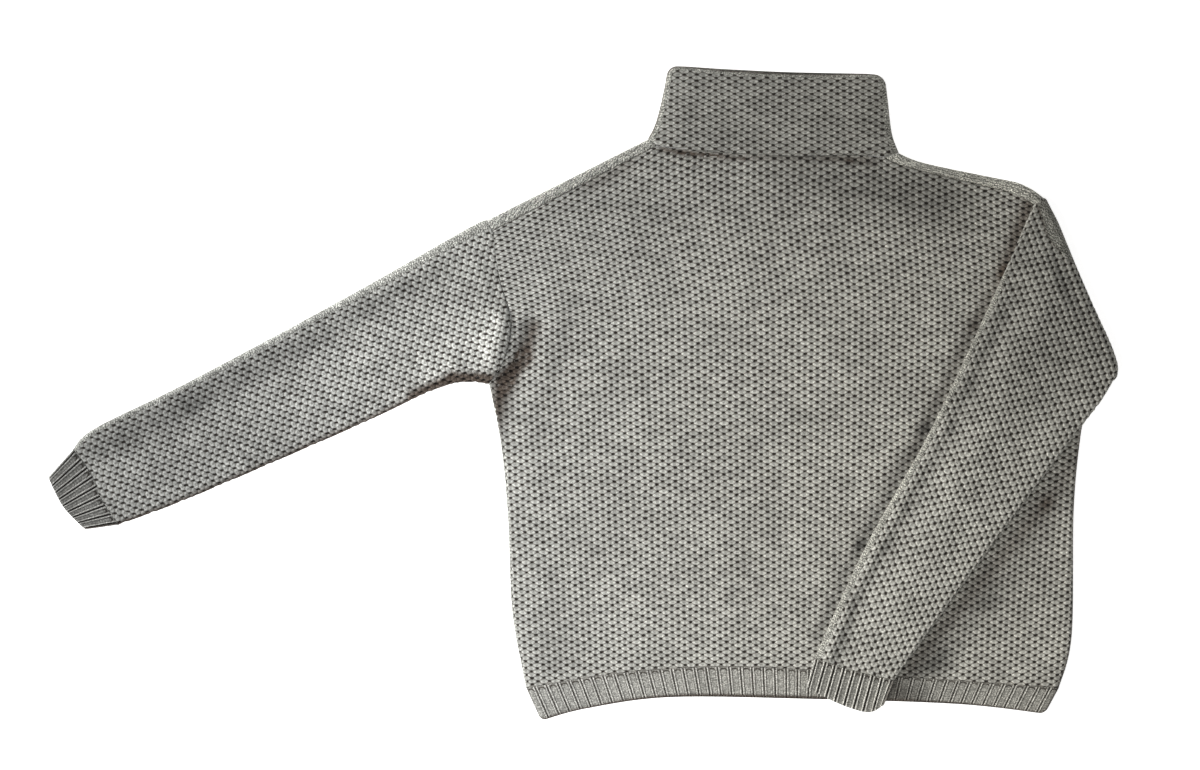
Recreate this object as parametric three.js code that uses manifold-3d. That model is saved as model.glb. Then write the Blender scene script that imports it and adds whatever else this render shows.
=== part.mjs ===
// A funnel-neck pullover in a thick honeycomb knit, laid flat with its left sleeve folded over the front.
// Millimetres. X runs to the wearer's left, Y towards the neck and Z up from the surface it lies on.
// Each piece is a wall of cloth. Front and back lie on each other, and meet in side seams at mid height.

import * as THREE from 'three';
import { mergeVertices } from 'three/addons/utils/BufferGeometryUtils.js';
import Module from 'manifold-3d';

const wasm = await Module();
wasm.setup();

// The cloth.
const wall = 4;              // thickness of the knit over its ridges
const layerGap = 0.6;        // air between two layers that lie on each other
const seamGap = 0.3;         // gap between two pieces at their seam
const insideRadius = layerGap / 2;
const edgeRadius = wall + insideRadius;      // outer radius of a rolled edge, and the middle level
const foldHeight = 2 * edgeRadius + insideRadius;   // axis that the left sleeve folds about
const foldRadius = foldHeight - edgeRadius;  // from that axis to the middle of the sleeve's two layers

// How finely the pieces are divided.
const turnSteps = 3;         // a rolled edge, from its seam to the flat
const shoulderSteps = 6;
const neckSteps = 8;
const sideSteps = 8;
const armholeSteps = 7;
const sleeveRows = 13;
const collarRows = 4;
const ribRows = 2;
const foldSteps = 5;
const bodySteps = shoulderSteps + neckSteps + shoulderSteps;
const sleeveSteps = armholeSteps + 1;        // one more for the width of the shoulder band

// Points that pieces share.
const rightTip = point(-303, 210);           // end of the shoulder, on the fold
const rightTipSeam = point(-297, 199);       // the same on the shoulder seam
const rightNeck = point(-142, 291);
const rightNeckSeam = point(-133, 284);
const leftNeck = point(109, 277);
const leftNeckSeam = point(94, 273);
const leftTip = point(243, 245);
const leftTipSeam = point(240, 233);
const rightArmpit = point(-301, 46);
const leftArmpit = point(297, 18);
const rightCorner = point(-264, -258);       // where the side seam meets the rib
const leftCorner = point(269, -258);

// Lines that pieces share, each from the wearer's right to left, or upwards.
const hemJoin = through(bodySteps, rightCorner, [-158, -242], [-42, -237], [111, -247], leftCorner);
const hemEdge = through(bodySteps,
  [-249, -291], [-203, -278], [-120, -266], [13, -267], [165, -273], [255, -284]);
const rightSide = through(sideSteps, rightCorner, [-278, -180], [-282, -90], [-289, -15], rightArmpit);
const leftSide = through(sideSteps, leftCorner, [282, -205], [284, -80], [291, -5], leftArmpit);
const rightArmhole = through(armholeSteps, rightArmpit, [-286, 70], [-279, 108], [-291, 155], rightTipSeam);
const leftArmhole = through(armholeSteps, leftArmpit, [286, 60], [282, 105], [266, 165], leftTipSeam);
const rightShoulder = through(shoulderSteps, rightTip, rightNeck);
const leftShoulder = through(shoulderSteps, leftNeck, [140, 266], leftTip);
const rightSeam = through(shoulderSteps, rightTipSeam, rightNeckSeam);
const leftSeam = through(shoulderSteps, leftNeckSeam, [121, 262], leftTipSeam);
const frontNeck = through(neckSteps, rightNeckSeam, [-73, 278], [4, 274], [60, 275], leftNeckSeam);
const backNeck = through(neckSteps, rightNeckSeam, [-73, 289], [-15, 290], [50, 286], leftNeckSeam);

// The sleeves and the collar.
const rightJoin = through(sleeveSteps, [-717, -19], [-699, -43], [-690, -66], [-672, -95]);
const rightCuffEnd = through(sleeveSteps, [-742, -48], [-727, -77], [-706, -99]);
const foldLine = through(sleeveSteps, [245.5, 239], [284, 147], [314, 80], [320, 55]);
const foldOut = new THREE.Vector3(0.912, 0.41, 0).normalize();
const leftJoin = through(sleeveSteps, [24, -228], [63, -240], [104, -250]);
const leftCuffEnd = through(sleeveSteps, [16, -257], [50, -274], [78, -282], [93, -275]);
const collarFront = through(neckSteps + 2,
  [-122, 364], [-100, 363], [-55, 359], [20, 355.5], [75, 356], [95, 354]);
const collarBack = through(neckSteps + 2,
  [-122, 364], [-100, 367], [-55, 364], [20, 359.5], [75, 360], [95, 354]);

// Soft folds that stand up from a top layer: a line, how far each side it reaches, and its height.
const frontFolds = [
  { from: point(-238, 132), to: point(-270, 42), reach: 17, height: 5 },
  { from: point(-262, 32), to: point(-262, -60), reach: 20, height: 2.5 },
];
const rightSleeveFolds = [
  { from: point(-340, 166), to: point(-610, 26), reach: 13, height: 2.5 },
  { from: point(-330, 90), to: point(-640, -50), reach: 24, height: 4 },
  { from: point(-296, 92), to: point(-300, 64), reach: 9, height: 5 },
];
const leftSleeveFolds = [
  { from: point(262, 150), to: point(110, -170), reach: 22, height: 4 },
];

const knitMaterial = cloth('#8f8d87');
const ribMaterial = cloth('#97958f');
// Where the middle of a row lies, which way the garment's front faces there, and the layer that is on top:
// 1 for the front, -1 for the back, 0 for neither.
const plain = { middle: new THREE.Vector3(0, 0, edgeRadius), normal: new THREE.Vector3(0, 0, 1), top: 1 };

function point(x, y) {
  return new THREE.Vector2(x, y);
}

function cloth(colour) {
  return new THREE.MeshStandardMaterial({ color: colour, roughness: 0.95, metalness: 0 });
}

// A smooth line through a few points, as evenly spaced points.
function through(steps, ...places) {
  const points = places.map((place) => (Array.isArray(place) ? point(...place) : place));
  const curve = points.length > 2 ? new THREE.SplineCurve(points) : new THREE.LineCurve(...points);
  return curve.getSpacedPoints(steps);
}

function moved(points, x, y) {
  return points.map((place) => place.clone().add(point(x, y)));
}

// Joins lines end to end, with no point twice.
function chain(...lines) {
  return lines.flatMap((line, i) => (i ? line.slice(1) : line));
}

// Rows of points that fill the space between four lines.
function patch(low, high, right, left) {
  const across = low.length - 1;
  const up = right.length - 1;
  return right.map((start, k) => low.map((unused, j) => {
    const u = j / across;
    const v = k / up;
    const rows = low[j].clone().lerp(high[j], v);
    const sides = start.clone().lerp(left[k], u);
    const below = low[0].clone().lerp(low[across], u);
    const above = high[0].clone().lerp(high[across], u);
    return rows.add(sides).sub(below.lerp(above, v));
  }));
}

// How high the folds lift the cloth at a place.
function lift(folds, x, y) {
  let height = 0;
  for (const fold of folds) {
    const along = fold.to.clone().sub(fold.from);
    const offset = point(x, y).sub(fold.from);
    const share = THREE.MathUtils.clamp(offset.dot(along) / along.lengthSq(), 0, 1);
    const away = offset.addScaledVector(along, -share).length() / fold.reach;
    height += fold.height * Math.exp(-away * away);
  }
  return height;
}

// One layer of a row, from one edge to the other, on its outer or inner surface. At a rolled edge the layer
// turns down to the middle level, and where roll is 0 it is cut off square.
function layer(row, face, surface, roll, place, folds) {
  const radius = surface === 'outer' ? edgeRadius : insideRadius;
  const start = surface === 'outer' ? 0 : wall;
  const points = [];
  const add = (spot, height) => {
    const solid = new THREE.Vector3(spot.x, spot.y, 0).add(place.middle);
    solid.addScaledVector(place.normal, face * height);
    solid.z += lift(folds, spot.x, spot.y) * (height / radius);
    points.push(solid);
  };
  const edge = (from, towards, step) => {
    const angle = (Math.PI / 2) * (step / turnSteps);
    const rolled = start + radius * (1 - Math.cos(angle));
    const square = edgeRadius * (step / turnSteps);
    const direction = towards.clone().sub(from).normalize();
    const height = THREE.MathUtils.lerp(radius, radius * Math.sin(angle), roll);
    add(from.clone().addScaledVector(direction, THREE.MathUtils.lerp(square, rolled, roll)), height);
  };
  const last = row.length - 1;
  for (let step = 0; step <= turnSteps; step += 1) edge(row[0], row[1], step);
  for (let j = 1; j < last; j += 1) add(row[j], radius);
  for (let step = turnSteps; step >= 0; step -= 1) edge(row[last], row[last - 1], step);
  return points;
}

// A closed solid between an outer and an inner grid of points. A ring's rows run all the way round.
function wallSolid(outer, inner, ring) {
  const rows = outer.length;
  const columns = outer[0].length;
  const positions = [...outer.flat(), ...inner.flat()].flatMap((p) => [p.x, p.y, p.z]);
  const at = (surface, k, j) => (surface * rows + k) * columns + (j % columns);
  const index = [];
  const quad = (a, b, c, d) => index.push(a, b, c, a, c, d);
  const cells = ring ? columns : columns - 1;
  for (let j = 0; j < cells; j += 1) {
    for (let k = 0; k < rows - 1; k += 1) {
      quad(at(0, k, j), at(0, k, j + 1), at(0, k + 1, j + 1), at(0, k + 1, j));
      quad(at(1, k, j), at(1, k + 1, j), at(1, k + 1, j + 1), at(1, k, j + 1));
    }
    quad(at(0, 0, j), at(1, 0, j), at(1, 0, j + 1), at(0, 0, j + 1));
    quad(at(0, rows - 1, j), at(0, rows - 1, j + 1), at(1, rows - 1, j + 1), at(1, rows - 1, j));
  }
  for (let k = 0; k < rows - 1 && !ring; k += 1) {
    quad(at(0, k, 0), at(0, k + 1, 0), at(1, k + 1, 0), at(1, k, 0));
    quad(at(0, k, columns - 1), at(1, k, columns - 1), at(1, k + 1, columns - 1), at(0, k + 1, columns - 1));
  }
  return outwards(positions, index);
}

// A geometry whose faces point out of the solid.
function outwards(positions, index) {
  const corner = (i) => new THREE.Vector3().fromArray(positions, 3 * index[i]);
  let volume = 0;
  for (let i = 0; i < index.length; i += 3) volume += corner(i).dot(corner(i + 1).cross(corner(i + 2)));
  const geometry = new THREE.BufferGeometry();
  geometry.setAttribute('position', new THREE.Float32BufferAttribute(positions, 3));
  geometry.setIndex(volume > 0 ? index : index.reverse());
  return geometry;
}

// A panel is one layer: face 1 lies on top of face -1. rolls gives each row's roll at both edges.
function panel(rows, face, rolls, folds = []) {
  const lifted = (points) => points.map((p) => {
    const height = Math.max(Math.abs(p.z - edgeRadius), seamGap / 2);
    return new THREE.Vector3(p.x, p.y, edgeRadius + face * height);
  });
  const grid = (surface) => rows.map((row, k) => lifted(layer(row, face, surface, rolls[k], plain, folds)));
  return wallSolid(grid('outer'), grid('inner'), false);
}

// A tube is two layers in one ring. backRows is given where the under layer's outline differs.
function tube(rows, places, folds = [], backRows = rows) {
  const grid = (surface) => rows.map((row, k) => {
    const over = layer(row, 1, surface, 1, places[k], places[k].top === 1 ? folds : []);
    const under = layer(backRows[k], -1, surface, 1, places[k], places[k].top === -1 ? folds : []);
    return [...over, ...under.slice(1, -1).reverse()];
  });
  return wallSolid(grid('outer'), grid('inner'), true);
}

// The strip of the back panel that turns over a shoulder, from the fold to the forward seam.
function shoulderBand(foldEdge, seamEdge) {
  const overlap = 4;
  const section = (k, surface) => {
    const radius = surface === 'outer' ? edgeRadius : insideRadius;
    const start = surface === 'outer' ? 0 : wall;
    const inwards = seamEdge[k].clone().sub(foldEdge[k]);
    const width = inwards.length();
    inwards.normalize();
    const spot = (distance, height) => {
      const place = foldEdge[k].clone().addScaledVector(inwards, distance);
      return new THREE.Vector3(place.x, place.y, edgeRadius + height);
    };
    const points = [spot(width + overlap, -radius)];
    for (let step = -turnSteps; step <= turnSteps; step += 1) {
      const angle = (Math.PI / 2) * (step / turnSteps);
      points.push(spot(start + radius * (1 - Math.cos(angle)), radius * Math.sin(angle)));
    }
    points.push(spot(width - seamGap, radius));
    return points;
  };
  const grid = (surface) => foldEdge.map((unused, k) => section(k, surface));
  return wallSolid(grid('outer'), grid('inner'), false);
}

function toManifold(geometry) {
  const bare = new THREE.BufferGeometry();
  bare.setAttribute('position', geometry.getAttribute('position').clone());
  bare.setIndex(geometry.getIndex().clone());
  const merged = mergeVertices(bare);
  const vertProperties = new Float32Array(merged.getAttribute('position').array);
  const triVerts = new Uint32Array(merged.getIndex().array);
  return new wasm.Manifold(new wasm.Mesh({ numProp: 3, vertProperties, triVerts }));
}

function join(first, ...others) {
  let solid = toManifold(first);
  for (const other of others) solid = solid.add(toManifold(other));
  const mesh = solid.getMesh();
  const geometry = new THREE.BufferGeometry();
  geometry.setAttribute('position', new THREE.BufferAttribute(mesh.vertProperties, 3));
  geometry.setIndex(new THREE.BufferAttribute(mesh.triVerts, 1));
  return geometry;
}

function bodyRows(neck) {
  const top = chain(rightSeam, neck, leftSeam);
  return patch(hemJoin, top, chain(rightSide, rightArmhole), chain(leftSide, leftArmhole));
}

// The body's edges are rolled up to the armpit, and cut square at the armhole.
function bodyRolls() {
  return chain(rightSide, rightArmhole).map((p, k) => (k <= sideSteps ? 1 : 0));
}

function front() {
  return panel(bodyRows(frontNeck), 1, bodyRolls(), frontFolds);
}

function back() {
  const sheet = panel(bodyRows(backNeck), -1, bodyRolls());
  return join(sheet, shoulderBand(rightShoulder, rightSeam), shoulderBand(leftShoulder, leftSeam));
}

function hem(face) {
  const drop = face === 1 ? 0 : 2;         // the back's rib shows below the front's
  const edge = hemEdge.map((p, j) => p.clone().sub(point(0, drop * Math.sin(Math.PI * (j / bodySteps)))));
  const join = moved(hemJoin, 0, -seamGap);
  const right = through(ribRows, edge[0], join[0]);
  const left = through(ribRows, edge[bodySteps], join[bodySteps]);
  const rows = patch(edge, join, right, left);
  return panel(rows, face, rows.map(() => 1));
}

function rightSleeve() {
  const armhole = moved([rightTip, ...[...rightArmhole].reverse()], -seamGap, 0);
  const last = sleeveSteps;
  const top = through(sleeveRows, armhole[0], [-322, 202], [-440, 135], [-600, 49], [-695, 2], rightJoin[0]);
  const under = through(sleeveRows, armhole[last], [-345, 44], [-440, 1], [-600, -68], rightJoin[last]);
  const rows = patch(armhole, rightJoin, top, under);
  return tube(rows, rows.map(() => plain), rightSleeveFolds);
}

function rightCuff() {
  const join = moved(rightJoin, -seamGap, -seamGap);
  const rows = patch(join, rightCuffEnd, through(ribRows, join[0], rightCuffEnd[0]),
    through(ribRows, join[sleeveSteps], rightCuffEnd[sleeveSteps]));
  return tube(rows, rows.map(() => plain));
}

// The place of a row of the left sleeve that has turned by an angle about its fold.
function turned(angle) {
  const normal = new THREE.Vector3(0, 0, Math.cos(angle)).addScaledVector(foldOut, -Math.sin(angle));
  const middle = new THREE.Vector3(0, 0, foldHeight).addScaledVector(normal, -foldRadius);
  return { middle, normal, top: angle === Math.PI ? -1 : 0 };
}

function leftSleeve() {
  const armhole = moved([leftTip, ...[...leftArmhole].reverse()], seamGap, 0);
  const rows = [armhole];
  const places = [turned(0)];
  for (let step = 0; step <= foldSteps; step += 1) {
    rows.push(foldLine);
    places.push(turned(Math.PI * (step / foldSteps)));
  }
  const last = sleeveSteps;
  const inner = through(sleeveRows, foldLine[0], [242, 222], [209, 147], [141, 2], [76, -115], leftJoin[0]);
  const outer = through(sleeveRows, foldLine[last], [307, 28], [285, -5], [187, -136], leftJoin[last]);
  for (const row of patch(foldLine, leftJoin, inner, outer).slice(1)) {
    rows.push(row);
    places.push(turned(Math.PI));
  }
  return tube(rows, places, leftSleeveFolds);
}

function leftCuff() {
  const join = moved(leftJoin, 0, -seamGap);
  const rows = patch(join, leftCuffEnd, through(ribRows, join[0], leftCuffEnd[0]),
    through(ribRows, join[sleeveSteps], leftCuffEnd[sleeveSteps]));
  return tube(rows, rows.map(() => turned(Math.PI)));
}

function collar() {
  const base = (neck) => moved([rightNeck, ...neck, leftNeck], 0, seamGap);
  const last = neckSteps + 2;
  const right = through(collarRows, base(frontNeck)[0], [-134, 308], [-126, 340], collarFront[0]);
  const left = through(collarRows, base(frontNeck)[last], [102, 297], [98, 330], collarFront[last]);
  const rows = patch(base(frontNeck), collarFront, right, left);
  const backRows = patch(base(backNeck), collarBack, right, left);
  return tube(rows, rows.map(() => plain), [], backRows);
}

const group = new THREE.Group();
const pieces = {
  back: [back, knitMaterial],
  front: [front, knitMaterial],
  hem_back: [() => hem(-1), ribMaterial],
  hem_front: [() => hem(1), ribMaterial],
  right_sleeve: [rightSleeve, knitMaterial],
  right_cuff: [rightCuff, ribMaterial],
  left_sleeve: [leftSleeve, knitMaterial],
  left_cuff: [leftCuff, ribMaterial],
  collar: [collar, knitMaterial],
};
for (const [name, [make, material]] of Object.entries(pieces)) {
  const mesh = new THREE.Mesh(make(), material.clone());
  mesh.name = name;
  group.add(mesh);
}

export default group;
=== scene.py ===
import math

import bmesh
import bpy
import numpy as np
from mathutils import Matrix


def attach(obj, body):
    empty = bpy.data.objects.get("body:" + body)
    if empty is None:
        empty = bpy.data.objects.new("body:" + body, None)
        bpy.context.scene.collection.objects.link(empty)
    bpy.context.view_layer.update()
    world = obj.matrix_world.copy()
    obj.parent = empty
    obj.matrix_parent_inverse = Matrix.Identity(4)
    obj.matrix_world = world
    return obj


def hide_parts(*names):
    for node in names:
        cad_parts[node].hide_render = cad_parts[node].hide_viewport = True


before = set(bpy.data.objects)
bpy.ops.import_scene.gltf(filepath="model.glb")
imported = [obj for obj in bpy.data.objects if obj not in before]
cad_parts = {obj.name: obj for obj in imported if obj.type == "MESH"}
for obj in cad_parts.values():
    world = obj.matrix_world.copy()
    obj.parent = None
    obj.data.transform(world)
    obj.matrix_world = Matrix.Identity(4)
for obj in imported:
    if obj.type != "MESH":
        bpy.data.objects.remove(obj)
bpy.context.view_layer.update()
print("frame loaded,", len(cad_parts), "pieces")

mm = 0.001  # the sweater's measures are in millimetres, the studio's in metres

cloth = {
    "roll": 4.3,  # radius of a rolled edge, also the middle level of two layers
    "wall": 4.0,
    "innerGap": 0.3,  # from the middle level to the inside of a layer
    "endInset": 0.15,  # how far the inside ends short of a layer's ends
    "leastRise": 0.035,  # share of its height that a sewn edge keeps
    "seamGap": 0.12,
    "innerShare": 6,  # the inside is this many times coarser than the outside
    "lowSide": (0.45, -0.89, 0),  # the way that the low rims face, away from the window; they get painted shade
    "shadeFacing": (0.25, 0.8),  # how squarely a rim faces that way where its painted shade starts and is full
    "shadeBelow": (6, 9),  # the painted shade is full below the first height, and gone above the second
    "rimHighlight": 0.5,  # how much paler a painted highlight makes a rim towards the window
    # how squarely a rim faces the window where its painted highlight starts and is full
    "highlightFacing": (0.4, 0.95),
}
rolled = (4.3, 4.3)  # an edge that turns under: how far in it starts, how far it drops
sewn = (2.8, 1.5)  # an edge that pulls down into a seam
cutEnd = (2.2, 3.3)  # the free end of a rib
softEnd = (4.5, 3.6)  # the rounder one of the collar
flatEnd = (0.01, 0.0)  # where the cloth carries on


# lines and surfaces that the pieces share


def through(*places):
    # a smooth line through a few places, read at any share of its length
    spots = np.array(places, float)
    if len(spots) > 2:
        padded = np.vstack([spots[:1], spots, spots[-1:]])
        t = np.linspace(0, 1, 60, endpoint=False)[:, None]
        runs = []
        for before, start, end, after in zip(padded, padded[1:], padded[2:], padded[3:]):
            leave = (end - before) / 2
            arrive = (after - start) / 2
            cubic = 2 * start - 2 * end + leave + arrive
            square = 3 * end - 3 * start - 2 * leave - arrive
            runs.append(((cubic * t + square) * t + leave) * t + start)
        spots = np.vstack(runs + [spots[-1:]])
    steps = np.linalg.norm(np.diff(spots, axis=0), axis=1)
    run = np.concatenate([[0], np.cumsum(steps)]) / steps.sum()

    def at(share):
        share = np.asarray(share, float)
        return np.stack([np.interp(share, run, spots[:, k]) for k in (0, 1)], axis=-1)

    return at


def chain(*parts):
    # lines end to end, each with the share at which it ends
    def at(share):
        share = np.asarray(share, float)
        result = parts[0][0](share / parts[0][1])
        for (line, end), (_, start) in zip(parts[1:], parts):
            here = line((share - start) / (end - start))
            result = np.where((share > start)[..., None], here, result)
        return result

    return at


def backwards(line):
    return lambda share: line(1 - np.asarray(share, float))


def moved(line, x, y):
    return lambda share: line(share) + np.array([x, y])


def patch(low, high, right, left):
    # the surface between four lines
    def at(u, v):
        a = u[..., None]
        b = v[..., None]
        corners = (1 - a) * ((1 - b) * low(0) + b * high(0)) + a * ((1 - b) * low(1) + b * high(1))
        return (1 - b) * low(u) + b * high(u) + (1 - a) * right(v) + a * left(v) - corners

    return at


def smoothStep(value, start, end):
    t = np.clip((value - start) / (end - start), 0, 1)
    return t * t * (3 - 2 * t)


def lift(folds, spots):
    # soft ridges and troughs: from, to, reach to each side, height
    height = np.zeros(len(spots))
    for start, end, reach, tall in folds:
        start = np.array(start, float)
        along = np.array(end, float) - start
        offset = spots - start
        share = np.clip(offset @ along / (along @ along), 0, 1)
        away = np.linalg.norm(offset - share[:, None] * along, axis=1) / reach
        height += tall * np.exp(-away * away)
    return height


def turnEdges(share, whole, first, second):
    # where a share of the cloth lies in plan once both its edges turn down, how far it has dropped
    # and how much further out it would be if it were unrolled
    firstReach, firstDrop = first
    secondReach, secondDrop = second
    firstArc = math.pi / 4 * (firstReach + firstDrop)
    secondArc = math.pi / 4 * (secondReach + secondDrop)
    total = whole - firstReach - secondReach + firstArc + secondArc
    run = share * total
    back = total - run
    flat = run - firstArc + firstReach
    firstAngle = np.clip(run / firstArc, 0, 1) * math.pi / 2
    secondAngle = np.clip(back / secondArc, 0, 1) * math.pi / 2
    inFirst = run < firstArc
    inSecond = back < secondArc
    place = np.where(inFirst, firstReach * (1 - np.cos(firstAngle)), flat)
    place = np.where(inSecond, whole - secondReach * (1 - np.cos(secondAngle)), place)
    drop = np.where(inFirst, firstDrop * (1 - np.sin(firstAngle)), 0)
    drop = np.where(inSecond, secondDrop * (1 - np.sin(secondAngle)), drop)
    return place / whole, drop, flat - place


def roundCorners(shareU, shareV, width, length, corner):
    # draws the corners at one end into quarter circles; a corner is its end, 0 or 1, and its radius
    end, radius = corner
    fromSide = np.minimum(shareU, 1 - shareU) * width
    fromEnd = np.abs(shareV - end) * length
    x = np.maximum(radius - fromSide, 0)
    y = np.maximum(radius - fromEnd, 0)
    pull = np.maximum(x, y) / np.maximum(np.hypot(x, y), 1e-6)
    inwards = np.where(shareU < 0.5, 1, -1) * (1 - pull) * x / width
    return shareU + inwards, shareV + np.where(end > 0.5, -1, 1) * (1 - pull) * y / length


def layCloth(outline, u, v, outside, sides, ends, inset, corner=(1, 0.01)):
    # one layer: its plan, how much of its height it has there, its plan if it were unrolled
    # and how far its rim is; the inside is set in from the rim
    across = outline(np.ones_like(v), v) - outline(np.zeros_like(v), v)
    up = outline(u, np.ones_like(u)) - outline(u, np.zeros_like(u))
    width = np.linalg.norm(across, axis=1)
    length = np.linalg.norm(up, axis=1)
    shareU, dropU, spareU = turnEdges(u, width, *sides)
    shareV, dropV, spareV = turnEdges(v, length, *ends)
    spots = outline(*roundCorners(shareU, shareV, width, length, corner))
    rise = (1 - dropU / cloth["roll"]) * (1 - dropV / cloth["roll"])
    flat = spots + across / width[:, None] * spareU[:, None] + up / length[:, None] * spareV[:, None]
    edge = np.minimum(np.minimum(shareU, 1 - shareU) * width, np.minimum(shareV, 1 - shareV) * length)
    insetU = inset / width
    insetV = cloth["endInset"] / length
    innerU = insetU + u * (1 - 2 * insetU)
    innerV = insetV + v * (1 - 2 * insetV)
    inner = outline(*roundCorners(innerU, innerV, width, length, corner))
    return np.where(outside[:, None], spots, inner), rise, flat, edge


def halfHeight(outside, rise, atFold=False):
    # from the middle level to a layer's outside or inside
    return np.where(outside, cloth["roll"] * rise, np.where(atFold, 0, cloth["innerGap"]))


def shapeUpper(tall, piece, spots, outside, rise, edge, upper=True, atFold=False, share=1):
    # lets the upper layer swell between its edges, and gives it its folds
    puff = piece["puff"] * (1 - np.exp(-edge / piece["puffReach"])) * share * rise
    folds = lift(piece["folds"], spots) * share * np.where(outside, rise, 1 - atFold)
    return tall + np.where(outside & upper, puff, 0) + np.where(upper, folds, 0)


# shells: a fine outside and a coarse inside, joined round the rim


def openSheet(across, up, missing=None):
    # on a unit square, the outside one above the inside; missing leaves out some of the square
    bm = bmesh.new()
    for level, share in ((1, 1), (0, cloth["innerShare"])):
        columns = across // share
        rows = up // share
        made = bmesh.ops.create_grid(bm, x_segments=columns, y_segments=rows, size=0.5)
        bmesh.ops.translate(bm, verts=made["verts"], vec=(0.5, 0.5, level))
    if missing:
        gone = [f for f in bm.faces if missing(*f.calc_center_median().xy)]
        bmesh.ops.delete(bm, geom=gone, context="FACES")
    bmesh.ops.bridge_loops(bm, edges=[e for e in bm.edges if e.is_boundary])
    spots = np.array([vert.co[:] for vert in bm.verts])
    return bm, spots[:, 0], spots[:, 1], spots[:, 2] > 0.5


def openTube(around, up):
    # on an upright cylinder, closed where the grid's two sides meet
    bm = bmesh.new()
    for radius, share in ((2, 1), (1, cloth["innerShare"])):
        columns = around // share
        rows = up // share
        made = bmesh.ops.create_grid(bm, x_segments=columns, y_segments=rows, size=0.5)
        for vert in made["verts"]:
            angle = (vert.co.x + 0.5) * 2 * math.pi
            vert.co = (radius * math.cos(angle), radius * math.sin(angle), vert.co.y + 0.5)
    bmesh.ops.remove_doubles(bm, verts=bm.verts, dist=1e-5)
    for level in (0, 1):
        rim = [e for e in bm.edges if e.is_boundary and abs(e.verts[0].co.z - level) < 1e-4]
        bmesh.ops.bridge_loops(bm, edges=rim)
    spots = np.array([vert.co[:] for vert in bm.verts])
    turn = np.arctan2(spots[:, 1], spots[:, 0]) / (2 * math.pi) % 1
    turn[turn > 1 - 1e-5] = 0
    outside = np.hypot(spots[:, 0], spots[:, 1]) > 1.5
    face = np.where(turn < 0.5, 1.0, -1.0)
    u = np.where(turn < 0.5, 2 * turn, 2 - 2 * turn)
    atFold = (u < 1e-5) | (u > 1 - 1e-5)
    return bm, u, spots[:, 2], outside, face, atFold


def finishPiece(name, bm, base, outside, stitches, height, mark, material, tone=1.0, shade=0.0):
    # gives the shell its place, its knitted relief, its stitch map and its material;
    # the mark tells how smooth a knit is, or how far a rib is from its join
    for vert, spot in zip(bm.verts, base * mm):
        vert.co = spot
    bmesh.ops.recalc_face_normals(bm, faces=bm.faces)
    insideOut = bm.calc_volume(signed=True) < 0
    mesh = bpy.data.meshes.new(name)
    bm.to_mesh(mesh)
    bm.free()
    normals = np.empty(len(base) * 3, np.float32)
    mesh.vertex_normals.foreach_get("vector", normals)
    if insideOut:  # the collar's flat tube is left inside out
        mesh.flip_normals()
    moves = np.where(outside, height, 0)[:, None] * normals.reshape(-1, 3)
    spots = base + moves
    spots[:, 2] = np.maximum(spots[:, 2], 0)
    mesh.vertices.foreach_set("co", (spots * mm).astype(np.float32).ravel())
    corners = np.empty(len(mesh.loops), np.int32)
    mesh.loops.foreach_get("vertex_index", corners)
    stitchMap = mesh.uv_layers.new(name="stitches")
    stitchMap.data.foreach_set("uv", stitches[corners].astype(np.float32).ravel())
    # painted brown shade on the low rim turned from the window, and a painted highlight on the rim towards
    # it, where loose fibres catch the light
    away = normals.reshape(-1, 3) @ np.array(cloth["lowSide"])
    rim = smoothStep(away, *cloth["shadeFacing"]) * (1 - smoothStep(base[:, 2], *cloth["shadeBelow"]))
    paintedHighlight = 1 + cloth["rimHighlight"] * smoothStep(-away, *cloth["highlightFacing"])
    for label, values in (("mark", mark), ("shaded", np.minimum(rim + shade, 1)), ("tone", paintedHighlight * tone)):
        attribute = mesh.attributes.new(label, "FLOAT", "POINT")
        attribute.data.foreach_set("value", values.astype(np.float32))
    mesh.shade_smooth()
    mesh.update()
    mesh.materials.append(material)
    piece = bpy.data.objects.new(name, mesh)
    bpy.context.collection.objects.link(piece)
    print(name, len(mesh.polygons), "faces")
    return piece


# the stitches


def wander(stitches, amount=0.042):
    # hand-made unevenness, in stitches
    u = stitches[:, 0]
    v = stitches[:, 1]
    across = np.sin(0.53 * u + 1.9 * v) + np.sin(1.31 * u - 0.83 * v + 2) + np.sin(2.03 * v + 0.29 * u + 4)
    up = np.sin(0.71 * v - 1.7 * u) + np.sin(1.13 * v + 0.61 * u + 1) + np.sin(2.31 * u + 0.37 * v + 3)
    return stitches + amount * np.stack([across, 0.6 * up], axis=1)


def honeycombRelief(stitches, deep=2.0, tilt=0.5, narrow=0.55):
    # holes lie on a centred lattice; between them each cell leans, low edge proud
    u = stitches[:, 0]
    v = stitches[:, 1]
    hollow = 2.4 * np.cos(math.pi * u) * np.cos(2 * math.pi * v) + narrow * np.cos(2 * math.pi * u)
    lean = np.cos(math.pi * u) * np.sin(2 * math.pi * v)
    return -deep * (hollow + 1.85) / 4.8 + tilt * lean


def bell(away, middle, reach):
    return np.exp(-(((away - middle) / reach) ** 2))


def ribRelief(stitches, deep):
    # flat columns; at whole numbers a narrow groove with a cord on each side
    away = np.abs(stitches[:, 0] - np.round(stitches[:, 0]))
    return deep * (0.6 * bell(away, 0.14, 0.065) - 0.8 * bell(away, 0, 0.045)) - 0.45


bodyStitch = {
    "column": 6.2,  # width of a column at the middle of the body
    "row": 6.88,  # height of a row there
    "widen": 0.0012,  # growth of the columns per millimetre upwards
    "grow": 0.0014,  # growth of the rows
    "rightBend": 33,  # how far the rows drop towards each shoulder
    "leftBend": 19,
    "shear": 9,  # how far the columns lean at the shoulders
    "shearRight": 5,  # and how much more at the wearer's right one
}


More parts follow.
